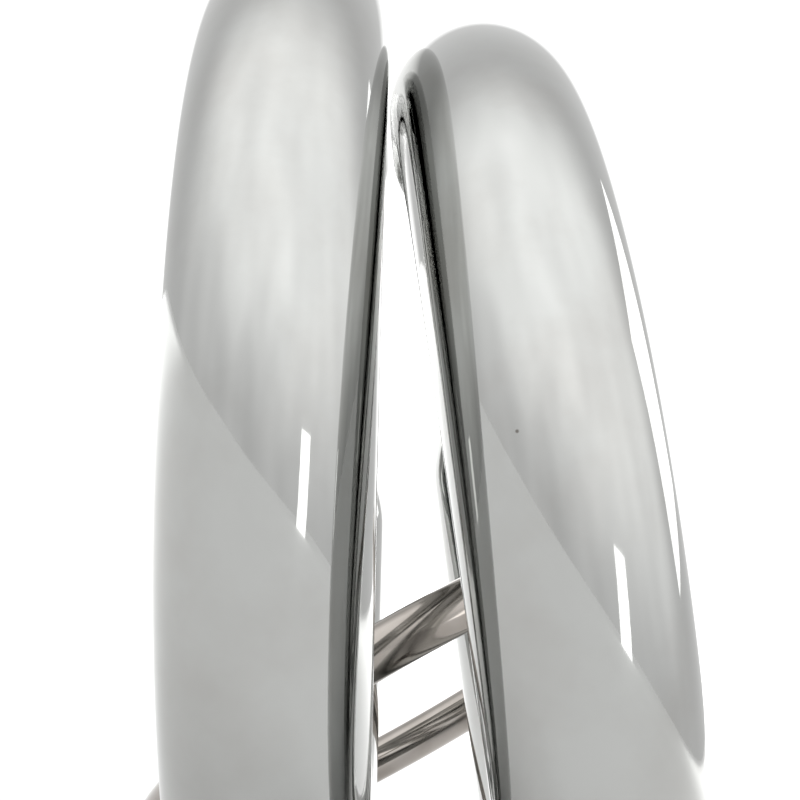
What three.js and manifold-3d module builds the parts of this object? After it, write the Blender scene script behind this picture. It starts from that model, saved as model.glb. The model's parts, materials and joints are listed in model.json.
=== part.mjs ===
// Metal ring disentanglement puzzle, at rest on a table.
// Two closed rings of thick round bar stand side by side and lean the same way.
// A thin link ring passes through both. It has a mouth, and each thick ring has one slim neck that
// just fits through the mouth, so the rings come apart only where neck and mouth meet.
// Millimetres, +Z up, +X to the right, +Y away from the viewer.
// The origin is on the table, under the middle of the box that holds all three rings.

import * as THREE from 'three';
import { mergeVertices } from 'three/addons/utils/BufferGeometryUtils.js';
import Module from 'manifold-3d';

const wasm = await Module();
wasm.setup();

const degrees = THREE.MathUtils.degToRad;

// Driving dimensions
const ringRadius = 24.6; // middle of a thick ring to the middle of its bar
const barRadius = 5; // half the thickness of the bar
const linkRadius = 18.6; // middle of the link ring to the middle of its wire
const wireRadius = 1.5; // half the thickness of the wire
const neckRadius = 2.4; // half the thickness of a thick ring's neck
const neckLength = 8; // slim stretch of the neck, along the bar
const neckBlend = 10; // stretch over which the bar narrows, at each end of the neck
const neckPlay = 0.5; // the link ring's mouth is this much wider than the neck

// Rest pose: the lean is the angle between a ring's plane and upright
const leftLean = degrees(13.3);
const rightLean = degrees(22.4);
const linkLean = degrees(42.2);
const linkHeading = degrees(156.5); // compass direction of the link ring's axis, from +X to +Y
const ringGap = 0.98; // least space between the two thick rings
const linkGap = 0.6; // the link ring stands at least this far off both thick rings
const rightForward = 1; // the right ring stands this far in front of the left one
const linkInset = 8.9; // the link ring's middle lies this far in front of the thick rings' backs

// Places on a ring, as angles round its middle from its lowest point
const leftNeckAngle = degrees(110);
const rightNeckAngle = degrees(130);
const mouthAngle = degrees(230);

// Facets: the flats touch the true round bar, and the corners stand just outside it
const barSides = 20;
const ringSegments = 48;
const wireSides = 10;
const linkSegments = 48;

const thickRing = { radius: ringRadius, bar: barRadius, sides: barSides, segments: ringSegments };
const thinRing = { radius: linkRadius, bar: wireRadius, sides: wireSides, segments: linkSegments };

// Where a ring is: its axis, the way from its middle to its lowest point, and its middle.
// It leans over by its lean and rests on the table, with its middle above x, y.
function placeRing(ring, lean, heading, x, y) {
  const level = Math.cos(lean);
  const axis = new THREE.Vector3(level * Math.cos(heading), level * Math.sin(heading), Math.sin(lean));
  const down = new THREE.Vector3(0, 0, -1).addScaledVector(axis, axis.z).normalize();
  const side = new THREE.Vector3().crossVectors(axis, down);
  const middle = new THREE.Vector3(x, y, ring.radius * Math.cos(lean) + ring.bar);
  return { ...ring, lean, axis, down, side, middle };
}

// A point on the middle line of a ring's bar
function onRing(ring, angle) {
  return ring.middle.clone()
    .addScaledVector(ring.down, ring.radius * Math.cos(angle))
    .addScaledVector(ring.side, ring.radius * Math.sin(angle));
}

// The least space between two rings' bars
function spaceBetween(a, b) {
  const steps = 240;
  const points = Array.from({ length: steps }, (_, i) => onRing(b, 2 * Math.PI * i / steps));
  let least = Infinity;
  for (let i = 0; i < steps; i++) {
    const point = onRing(a, 2 * Math.PI * i / steps);
    for (const other of points) least = Math.min(least, point.distanceToSquared(other));
  }
  return Math.sqrt(least) - a.bar - b.bar;
}

// Slide a ring along X, between clear and touching, until it stands the wanted space off a fixed one
function slideTo(ring, fixed, space, clear, touching) {
  for (let i = 0; i < 30; i++) {
    ring.middle.x = (clear + touching) / 2;
    if (spaceBetween(ring, fixed) > space) clear = ring.middle.x;
    else touching = ring.middle.x;
  }
  ring.middle.x = clear;
}

// Slide a ring that goes round two others along X until it stands equally far off both
function centreRound(ring, first, second) {
  let low = first.middle.x;
  let high = second.middle.x;
  for (let i = 0; i < 16; i++) {
    ring.middle.x = (low + high) / 2;
    if (spaceBetween(ring, first) > spaceBetween(ring, second)) low = ring.middle.x;
    else high = ring.middle.x;
  }
}

// The link ring, turned to face the two bars more squarely where it would otherwise not clear them
function placeLink(first, second) {
  const turnStep = degrees(2);
  let heading = linkHeading;
  let ring = placeRing(thinRing, linkLean, heading, 0, ringRadius - linkInset);
  centreRound(ring, first, second);
  while (spaceBetween(ring, first) < linkGap && heading > degrees(90)) {
    heading -= turnStep;
    ring = placeRing(thinRing, linkLean, heading, 0, ringRadius - linkInset);
    centreRound(ring, first, second);
  }
  return ring;
}

// A closed bar section beside the ring's own Y axis, with one flat that faces the table
function barSection(ring) {
  const corner = ring.bar / Math.cos(Math.PI / ring.sides);
  const stretch = 1 / Math.cos(Math.PI / ring.segments);
  const points = [];
  for (let i = 0; i < ring.sides; i++) {
    const angle = -ring.lean + (2 * i + 1) * Math.PI / ring.sides;
    const outward = ring.radius + corner * Math.cos(angle);
    points.push(new THREE.Vector2(outward * stretch, corner * Math.sin(angle)));
  }
  points.push(points[0].clone());
  return points;
}

// A whole ring about its own Y axis. The middle of one segment is on +X, the ring's lowest point.
function ringGeometry(ring) {
  const start = Math.PI / 2 - Math.PI / ring.segments;
  const geometry = new THREE.LatheGeometry(barSection(ring), ring.segments, start, 2 * Math.PI);
  geometry.deleteAttribute('normal');
  geometry.deleteAttribute('uv');
  return mergeVertices(geometry, 1e-3);
}

// How thick the bar is at a distance along it from the neck's middle, as a share of its full thickness
function neckShare(distance) {
  const rise = THREE.MathUtils.smoothstep(distance, neckLength / 2, neckLength / 2 + neckBlend);
  return THREE.MathUtils.lerp(neckRadius / barRadius, 1, rise);
}

// Narrow a ring to its neck: each point moves towards the middle line of the bar
function addNeck(geometry, ring, neckAngle) {
  const position = geometry.attributes.position;
  const point = new THREE.Vector3();
  const core = new THREE.Vector3();
  const neck = new THREE.Vector3(Math.cos(neckAngle), 0, -Math.sin(neckAngle));
  for (let i = 0; i < position.count; i++) {
    point.fromBufferAttribute(position, i);
    core.set(point.x, 0, point.z).setLength(ring.radius);
    const distance = ring.radius * core.angleTo(neck);
    point.lerpVectors(core, point, neckShare(distance));
    position.setXYZ(i, point.x, point.y, point.z);
  }
  return geometry;
}

function toSolid(geometry) {
  const mesh = new wasm.Mesh({
    numProp: 3,
    vertProperties: new Float32Array(geometry.attributes.position.array),
    triVerts: new Uint32Array(geometry.index.array),
  });
  return new wasm.Manifold(mesh);
}

function toGeometry(solid) {
  const mesh = solid.getMesh();
  const geometry = new THREE.BufferGeometry();
  geometry.setAttribute('position', new THREE.BufferAttribute(mesh.vertProperties, 3));
  geometry.setIndex(new THREE.BufferAttribute(mesh.triVerts, 1));
  return geometry;
}

// Cut a mouth with two flat, parallel faces right through the wire
function cutMouth(geometry, ring, angle) {
  const mouthWidth = 2 * neckRadius + neckPlay;
  const reach = 4 * ring.bar;
  const block = new THREE.BoxGeometry(reach, reach, mouthWidth);
  block.deleteAttribute('normal');
  block.deleteAttribute('uv');
  block.translate(ring.radius, 0, 0);
  block.rotateY(angle);
  return toGeometry(toSolid(geometry).subtract(toSolid(mergeVertices(block, 1e-3))));
}

// A ring's own X, Y and Z become its way down, its axis and the way back along its bar
function ringMesh(name, geometry, ring, color) {
  const material = new THREE.MeshStandardMaterial({ color, roughness: 0.06, metalness: 1 });
  const mesh = new THREE.Mesh(geometry, material);
  const back = new THREE.Vector3().crossVectors(ring.down, ring.axis);
  mesh.name = name;
  mesh.quaternion.setFromRotationMatrix(new THREE.Matrix4().makeBasis(ring.down, ring.axis, back));
  mesh.position.copy(ring.middle);
  return mesh;
}

const left = placeRing(thickRing, leftLean, 0, 0, 0);
const right = placeRing(thickRing, rightLean, 0, 0, -rightForward);
slideTo(right, left, ringGap, 6 * barRadius, 2 * barRadius);
const link = placeLink(left, right);

const rings = new THREE.Group();
const leftGeometry = addNeck(ringGeometry(left), left, leftNeckAngle);
const rightGeometry = addNeck(ringGeometry(right), right, rightNeckAngle);
const linkGeometry = cutMouth(ringGeometry(link), link, mouthAngle);
rings.add(ringMesh('left_ring', leftGeometry, left, 0xc9cac8));
rings.add(ringMesh('right_ring', rightGeometry, right, 0xc7c8c6));
rings.add(ringMesh('link_ring', linkGeometry, link, 0xb9b6b1));

// Move the three together to put the origin under the middle of their box
const middle = new THREE.Box3().setFromObject(rings, true).getCenter(new THREE.Vector3());
rings.position.set(-middle.x, -middle.y, 0);
const group = new THREE.Group();
group.add(rings);

export default group;
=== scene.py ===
"""Metal ring disentanglement puzzle: two thick polished steel rings and the thin ring that links them.

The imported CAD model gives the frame. Each ring is rebuilt here as a fine smooth mesh on the same middle
line and bar as its CAD node, and given a polished steel material. Lengths are in metres.
"""

import json
import math

import bpy
from mathutils import Matrix, Vector


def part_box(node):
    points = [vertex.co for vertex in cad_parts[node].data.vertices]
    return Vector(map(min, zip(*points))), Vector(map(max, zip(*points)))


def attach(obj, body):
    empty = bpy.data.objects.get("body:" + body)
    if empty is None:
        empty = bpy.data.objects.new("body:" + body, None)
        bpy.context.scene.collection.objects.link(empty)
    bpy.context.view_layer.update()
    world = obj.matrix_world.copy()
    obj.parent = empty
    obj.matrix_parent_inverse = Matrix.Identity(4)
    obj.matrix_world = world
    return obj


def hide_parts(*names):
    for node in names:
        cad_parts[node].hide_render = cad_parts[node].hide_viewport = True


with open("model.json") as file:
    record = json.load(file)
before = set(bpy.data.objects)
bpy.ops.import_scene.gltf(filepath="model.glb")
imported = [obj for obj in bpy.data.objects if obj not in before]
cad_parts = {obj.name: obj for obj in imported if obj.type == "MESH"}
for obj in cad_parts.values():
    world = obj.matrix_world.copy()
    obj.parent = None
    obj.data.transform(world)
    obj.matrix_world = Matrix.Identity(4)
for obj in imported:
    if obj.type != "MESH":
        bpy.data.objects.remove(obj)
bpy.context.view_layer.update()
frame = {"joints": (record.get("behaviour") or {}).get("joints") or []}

MM = 0.001

# Ring sizes, the same as the CAD model's
RING_RADIUS = 24.6 * MM
BAR_RADIUS = 5 * MM
LINK_RADIUS = 18.6 * MM
WIRE_RADIUS = 1.5 * MM
NECK_RADIUS = 2.4 * MM
NECK_LENGTH = 8 * MM
NECK_BLEND = 10 * MM
NECK_PLAY = 0.5 * MM
LEFT_NECK_ANGLE = math.radians(110)
RIGHT_NECK_ANGLE = math.radians(130)
MOUTH_ANGLE = math.radians(230)

# How each ring leans at rest, and the compass direction of its axis
LEFT_LEAN = math.radians(13.3)
RIGHT_LEAN = math.radians(22.4)
LINK_LEAN = math.radians(42.2)
LINK_HEADING = math.radians(156.5)

# Hand polishing leaves the bar this far from a true round, over waves about this long
POLISH_DEPTH = 0.012 * MM
POLISH_WAVE = 17 * MM
MOUTH_EDGE = 0.2 * MM  # the rounding of the link ring's two cut ends

# The steel is darker than bare steel, so that what one ring shows of the other is darker still
STEEL_PALE = (0.42, 0.425, 0.415, 1)
STEEL_DULL = (0.39, 0.39, 0.378, 1)
WIRE_PALE = (0.35, 0.325, 0.30, 1)
WIRE_DULL = (0.275, 0.25, 0.225, 1)
PIT_COLOUR = (0.16, 0.15, 0.14, 1)

# How bright the studio's surfaces are to look at
ROOM_LIGHT = 1.86
FLOOR_LIGHT = 1.03
WALL_LIGHT = 0.9
BACKDROP_LIGHT = 1.9

# The camera, from the left ring's middle, and how far it is rolled
CAMERA_PLACE = Vector((4.94, -109.0, 4.81)) * MM
CAMERA_ROLL = math.radians(14.6)
CAMERA_LENS = 85.1  # millimetres, on a 36 mm sensor
FLOOR_SIZE = 2.4


# ---------------------------------------------------------------- rings


class Ring:
    """A ring's middle line: where it is, which way it faces, and which way is down round it."""

    def __init__(self, middle, radius, bar, lean, heading):
        level = math.cos(lean)
        self.radius = radius
        self.bar = bar
        self.axis = Vector((level * math.cos(heading), level * math.sin(heading), math.sin(lean)))
        self.down = (Vector((0, 0, -1)) + self.axis * self.axis.z).normalized()
        self.side = self.axis.cross(self.down)
        self.middle = middle

    def point(self, angle, section_angle, bar):
        """A point on a bar that is bar thick, at an angle round the ring and one round the bar."""
        outward = self.down * math.cos(angle) + self.side * math.sin(angle)
        reach = self.radius + bar * math.cos(section_angle)
        return self.middle + outward * reach + self.axis * (bar * math.sin(section_angle))


def smoothstep(low, high, value):
    t = min(max((value - low) / (high - low), 0), 1)
    return t * t * (3 - 2 * t)


def neck_bar(ring, angle, neck_angle):
    """How thick the bar is at an angle round a ring that has one neck."""
    away = abs(math.remainder(angle - neck_angle, 2 * math.pi)) * ring.radius
    rise = smoothstep(NECK_LENGTH / 2, NECK_LENGTH / 2 + NECK_BLEND, away)
    return NECK_RADIUS + (ring.bar - NECK_RADIUS) * rise


def polish_dip(ring, angle, section_angle, phase):
    """How far hand polishing has taken the surface down at one place, from none to POLISH_DEPTH."""
    turns = round(2 * math.pi * ring.radius / POLISH_WAVE)
    long_wave = math.sin(turns * angle + phase + 1.3 * math.sin(section_angle))
    short_wave = math.sin((2 * turns + 1) * angle + 2 * section_angle + 2.1 * phase)
    round_wave = math.sin(3 * section_angle + math.sin(2 * angle + phase))
    return POLISH_DEPTH * (3 + 1.6 * long_wave + 0.5 * short_wave + 0.9 * round_wave) / 6


def make_piece(name, points, faces, along):
    """A smooth mesh object. Its UV map holds millimetres along the bar and round it."""
    mesh = bpy.data.meshes.new(name)
    mesh.from_pydata(points, [], faces)
    mesh.shade_smooth()
    layer = mesh.uv_layers.new(name="bar")
    for polygon in mesh.polygons:
        for loop, uv in zip(polygon.loop_indices, along[polygon.index]):
            layer.data[loop].uv = uv
    mesh.validate()
    piece = bpy.data.objects.new(name, mesh)
    bpy.context.scene.collection.objects.link(piece)
    return piece


def bar_uvs(ring, i, j, rows, sides):
    """The corners of one face on the UV map: millimetres along the bar and round it."""
    step = 2 * math.pi * ring.radius / rows / MM
    turn = 2 * math.pi * ring.bar / sides / MM
    near = i * step
    far = (i + 1) * step
    low = j * turn
    high = (j + 1) * turn
    return [(near, low), (near, high), (far, high), (far, low)]


def bar_faces(ring, rows, sides, closed):
    """The four-sided faces between each section of a bar and the next, and their UV corners."""
    faces = []
    along = []
    for i in range(rows if closed else rows - 1):
        here = i * sides
        ahead = (i + 1) % rows * sides
        for j in range(sides):
            beside = (j + 1) % sides
            faces.append((here + j, here + beside, ahead + beside, ahead + j))
            along.append(bar_uvs(ring, i, j, rows, sides))
    return faces, along


def closed_ring(name, ring, neck_angle, phase, segments=360, sides=96):
    """A thick ring: a bar with no end, narrowed once to its neck."""
    points = []
    for i in range(segments):
        angle = 2 * math.pi * i / segments
        bar = neck_bar(ring, angle, neck_angle)
        for j in range(sides):
            section_angle = 2 * math.pi * j / sides
            dip = polish_dip(ring, angle, section_angle, phase)
            points.append(ring.point(angle, section_angle, bar - dip))
    faces, along = bar_faces(ring, segments, sides, closed=True)
    return make_piece(name, points, faces, along)


def rounded_end(where, edge_turn, steps=5):
    """The sections that round one cut end over: how far in, at which end, and how much thinner."""
    rows = []
    for i in range(steps + 1):
        quarter = math.pi / 2 * i / steps
        rows.append((edge_turn * (1 - math.cos(quarter)), where, MOUTH_EDGE * (1 - math.sin(quarter))))
    return rows


def open_ring(name, ring, mouth_angle, mouth_width, phase, segments=420, sides=48):
    """The link ring: a wire whose two ends face each other across a mouth with parallel faces."""
    edge_turn = MOUTH_EDGE / ring.radius
    rows = rounded_end(1, edge_turn)
    rows += [(None, i / segments, 0) for i in range(1, segments)]
    rows += reversed(rounded_end(-1, edge_turn))
    points = []
    for inset, where, thinner in rows:
        for j in range(sides):
            section_angle = 2 * math.pi * j / sides
            reach = ring.radius + ring.bar * math.cos(section_angle)
            cut = math.asin(mouth_width / 2 / reach)
            if inset is None:
                first = cut + edge_turn
                angle = mouth_angle + first + (2 * math.pi - 2 * first) * where
                dip = polish_dip(ring, angle, section_angle, phase)
            else:
                angle = mouth_angle + where * (cut + inset)
                dip = thinner
            points.append(ring.point(angle, section_angle, ring.bar - dip))
    faces, along = bar_faces(ring, len(rows), sides, closed=False)
    last = (len(rows) - 1) * sides
    faces.append(tuple(reversed(range(sides))))
    faces.append(tuple(last + j for j in range(sides)))
    along += [[(0, 0)] * sides] * 2
    return make_piece(name, points, faces, along)


# ---------------------------------------------------------------- materials


class Nodes:
    """Short names for adding and joining shader nodes."""

    def __init__(self, tree):
        self.tree = tree
        tree.nodes.clear()

    def add(self, kind, inputs=(), **settings):
        node = self.tree.nodes.new(kind)
        for name, value in settings.items():
            setattr(node, name, value)
        for socket, value in dict(inputs).items():
            if isinstance(value, bpy.types.NodeSocket):
                self.tree.links.new(value, node.inputs[socket])
            else:
                node.inputs[socket].default_value = value
        return node

    def ramp(self, value, low, high, out_low, out_high):
        node = self.add("ShaderNodeMapRange", {"Value": value, "From Min": low, "From Max": high})
        node.inputs["To Min"].default_value = out_low
        node.inputs["To Max"].default_value = out_high
        return node.outputs["Result"]

    def soft_ramp(self, value, low, high, out_low, out_high):
        result = self.ramp(value, low, high, out_low, out_high)
        result.node.interpolation_type = "SMOOTHSTEP"
        return result

    def math(self, operation, a, b):
        return self.add("ShaderNodeMath", {0: a, 1: b}, operation=operation).outputs["Value"]

    def mix(self, factor, a, b):
        """A blend of two colours. The node's colour sockets are picked by number, as their names repeat."""
        return self.add("ShaderNodeMix", {0: factor, 6: a, 7: b}, data_type="RGBA").outputs[2]

    def noise(self, vector, scale, detail=3.0, roughness=0.55):
        inputs = {"Vector": vector, "Scale": scale, "Detail": detail, "Roughness": roughness}
        return self.add("ShaderNodeTexNoise", inputs).outputs["Fac"]


def polished_steel(name, pale, dull, smooth, rough, grain):
    """Mirror-polished steel: faint smears of handling, hair scratches, pits and a very fine ripple."""
    material = bpy.data.materials.new(name)
    material.use_nodes = True
    n = Nodes(material.node_tree)
    place = n.add("ShaderNodeTexCoord").outputs["Object"]
    in_mm = n.add("ShaderNodeVectorMath", {0: place, "Scale": 1 / MM}, operation="SCALE").outputs["Vector"]
    bar = n.add("ShaderNodeUVMap", uv_map="bar").outputs["UV"]

    smear = n.ramp(n.noise(in_mm, 0.16, 4, 0.6), 0.42, 0.68, 0, 1)
    cloud = n.ramp(n.noise(in_mm, 0.7, 5, 0.65), 0.35, 0.75, 0, 1)
    along = n.add("ShaderNodeMapping", {"Vector": bar, "Scale": (0.05, 7.0, 1)}).outputs["Vector"]
    drawn = n.noise(along, 1.0, 4, 0.7)
    across = n.add(
        "ShaderNodeMapping", {"Vector": bar, "Rotation": (0, 0, 0.5), "Scale": (11.0, 0.22, 1)}
    ).outputs["Vector"]
    hair = n.ramp(n.noise(across, 1.0, 2, 0.5), 0.70, 0.78, 0, 1)
    cells = n.add("ShaderNodeTexVoronoi", {"Vector": in_mm, "Scale": 0.22, "Randomness": 1.0})
    pit = n.ramp(cells.outputs["Distance"], 0.012, 0.024, 1, 0)

    colour = n.mix(pit, n.mix(smear, pale, dull), PIT_COLOUR)

    roughness = n.math("ADD", n.ramp(cloud, 0, 1, smooth, rough), n.math("MULTIPLY", hair, 0.05))
    roughness = n.math("ADD", roughness, n.math("MULTIPLY", pit, 0.3))

    height = n.math("ADD", n.math("MULTIPLY", drawn, grain), n.math("MULTIPLY", hair, -0.25 * grain))
    height = n.math("ADD", height, n.math("MULTIPLY", pit, -4 * grain))
    bump = n.add("ShaderNodeBump", {"Strength": 1.0, "Distance": MM, "Height": height})

    shader = n.add("ShaderNodeBsdfPrincipled", {"Metallic": 1.0, "IOR": 2.5, "Base Color": colour})
    n.tree.links.new(roughness, shader.inputs["Roughness"])
    n.tree.links.new(bump.outputs["Normal"], shader.inputs["Normal"])
    out = n.add("ShaderNodeOutputMaterial")
    n.tree.links.new(shader.outputs["BSDF"], out.inputs["Surface"])
    return material


def table_top():
    material = bpy.data.materials.new("table_top")
    material.use_nodes = True
    n = Nodes(material.node_tree)
    place = n.add("ShaderNodeTexCoord").outputs["Object"]
    tint = n.ramp(n.noise(place, 9.0, 3), 0.3, 0.7, 0.73, 0.75)
    colour = n.add("ShaderNodeCombineColor", {"Red": tint, "Green": tint, "Blue": tint}).outputs["Color"]
    shader = n.add("ShaderNodeBsdfPrincipled", {"Base Color": colour, "Roughness": 0.7})
    out = n.add("ShaderNodeOutputMaterial")
    n.tree.links.new(shader.outputs["BSDF"], out.inputs["Surface"])
    return material


# ---------------------------------------------------------------- the object

joint_places = {joint["name"]: Vector(joint["pos_m"]) for joint in frame["joints"]}
right_low, right_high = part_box("right_ring")
right_middle = Vector((
    (right_low.x + right_high.x) / 2,
    right_low.y + RING_RADIUS + BAR_RADIUS,
    RING_RADIUS * math.cos(RIGHT_LEAN) + BAR_RADIUS,
))
left = Ring(joint_places["link_turn"], RING_RADIUS, BAR_RADIUS, LEFT_LEAN, 0)
right = Ring(right_middle, RING_RADIUS, BAR_RADIUS, RIGHT_LEAN, 0)
link = Ring(joint_places["right_ring_travel"], LINK_RADIUS, WIRE_RADIUS, LINK_LEAN, LINK_HEADING)

steel = polished_steel("polished_steel", STEEL_PALE, STEEL_DULL, 0.03, 0.075, 0.0004)
wire = polished_steel("polished_wire", WIRE_PALE, WIRE_DULL, 0.08, 0.16, 0.0010)


def finish_piece(piece, node, body, material):
    piece.data.materials.append(material)
    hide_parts(node)
    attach(piece, body)


left_piece = closed_ring("left_steel_ring", left, LEFT_NECK_ANGLE, 0.4)
right_piece = closed_ring("right_steel_ring", right, RIGHT_NECK_ANGLE, 2.3)
link_piece = open_ring("link_wire_ring", link, MOUTH_ANGLE, 2 * NECK_RADIUS + NECK_PLAY, 1.1)
finish_piece(left_piece, "left_ring", "left_ring", steel)
finish_piece(right_piece, "right_ring", "right_ring", steel)
finish_piece(link_piece, "link_ring", "link_ring", wire)


# ---------------------------------------------------------------- studio


def make_floor(size):
    mesh = bpy.data.meshes.new("floor")
    half = size / 2
    corners = [(-half, -half, 0), (half, -half, 0), (half, half, 0), (-half, half, 0)]
    mesh.from_pydata(corners, [], [(0, 1, 2, 3)])
    floor = bpy.data.objects.new("floor", mesh)
    bpy.context.scene.collection.objects.link(floor)
    floor.data.materials.append(table_top())


def make_world():
    """A white room in front and overhead, a white backdrop behind, and greyer walls beside the backdrop."""
    world = bpy.data.worlds.new("studio")
    bpy.context.scene.world = world
    world.use_nodes = True
    n = Nodes(world.node_tree)
    direction = n.add("ShaderNodeTexCoord").outputs["Generated"]
    parts = n.add("ShaderNodeSeparateXYZ", {"Vector": direction})
    mottle = n.ramp(n.noise(direction, 2.2, 1), 0.3, 0.7, 0.90, 1.06)
    room = n.math("MULTIPLY", n.soft_ramp(parts.outputs["Z"], -0.02, 0.75, FLOOR_LIGHT, ROOM_LIGHT), mottle)
    walls = n.soft_ramp(parts.outputs["Y"], 0.05, 0.62, 1, 0)
    dimmed = n.add("ShaderNodeMix", {0: walls, 2: WALL_LIGHT, 3: room}, data_type="FLOAT")
    backdrop = n.soft_ramp(parts.outputs["Y"], 0.80, 0.965, 0, BACKDROP_LIGHT)
    light = n.math("MAXIMUM", dimmed.outputs[0], backdrop)
    background = n.add("ShaderNodeBackground", {"Color": (1, 1, 1, 1), "Strength": light})
    out = n.add("ShaderNodeOutputWorld")
    n.tree.links.new(background.outputs["Background"], out.inputs["Surface"])


def soft_box(name, centre, aim, width, height, brightness, spread=180, mirrored=True):
    """A rectangular lamp that shines from centre towards aim, within a spread of so many degrees."""
    lamp = bpy.data.lights.new(name, "AREA")
    lamp.shape = "RECTANGLE"
    lamp.size = width
    lamp.size_y = height
    lamp.energy = brightness * math.pi * width * height
    lamp.spread = math.radians(spread)
    box = bpy.data.objects.new(name, lamp)
    box.visible_camera = False
    box.visible_glossy = mirrored
    box.location = centre
    box.rotation_euler = (centre - aim).to_track_quat("Z", "Y").to_euler()
    bpy.context.scene.collection.objects.link(box)


def make_camera():
    """Close in front of the rings and level with them, rolled as a hand-held camera is."""
    lens = bpy.data.cameras.new("camera")
    lens.lens = CAMERA_LENS
    lens.sensor_width = 36
    lens.clip_start = 0.005
    camera = bpy.data.objects.new("camera", lens)
    across = Vector((math.cos(CAMERA_ROLL), 0, math.sin(CAMERA_ROLL)))
    up = Vector((-math.sin(CAMERA_ROLL), 0, math.cos(CAMERA_ROLL)))
    turn = Matrix((across, up, across.cross(up))).transposed()
    camera.matrix_world = Matrix.Translation(left.middle + CAMERA_PLACE) @ turn.to_4x4()
    bpy.context.scene.collection.objects.link(camera)
    bpy.context.scene.camera = camera


make_floor(FLOOR_SIZE)
make_world()
make_camera()
heart = (left.middle + right.middle) / 2
soft_box("front_window", heart + Vector((0.39, -0.46, 0.05)), heart, 0.10, 0.22, 2.15)
soft_box("right_window", heart + Vector((0.46, 0.38, 0.28)), heart, 0.30, 0.30, 1.8)
soft_box("backdrop_light", Vector((0, 0.78, 0.5)), Vector((0, 0.78, 0)), 1.6, 1.3, 1.55, 50, mirrored=False)
bpy.context.scene.view_settings.view_transform = "Standard"
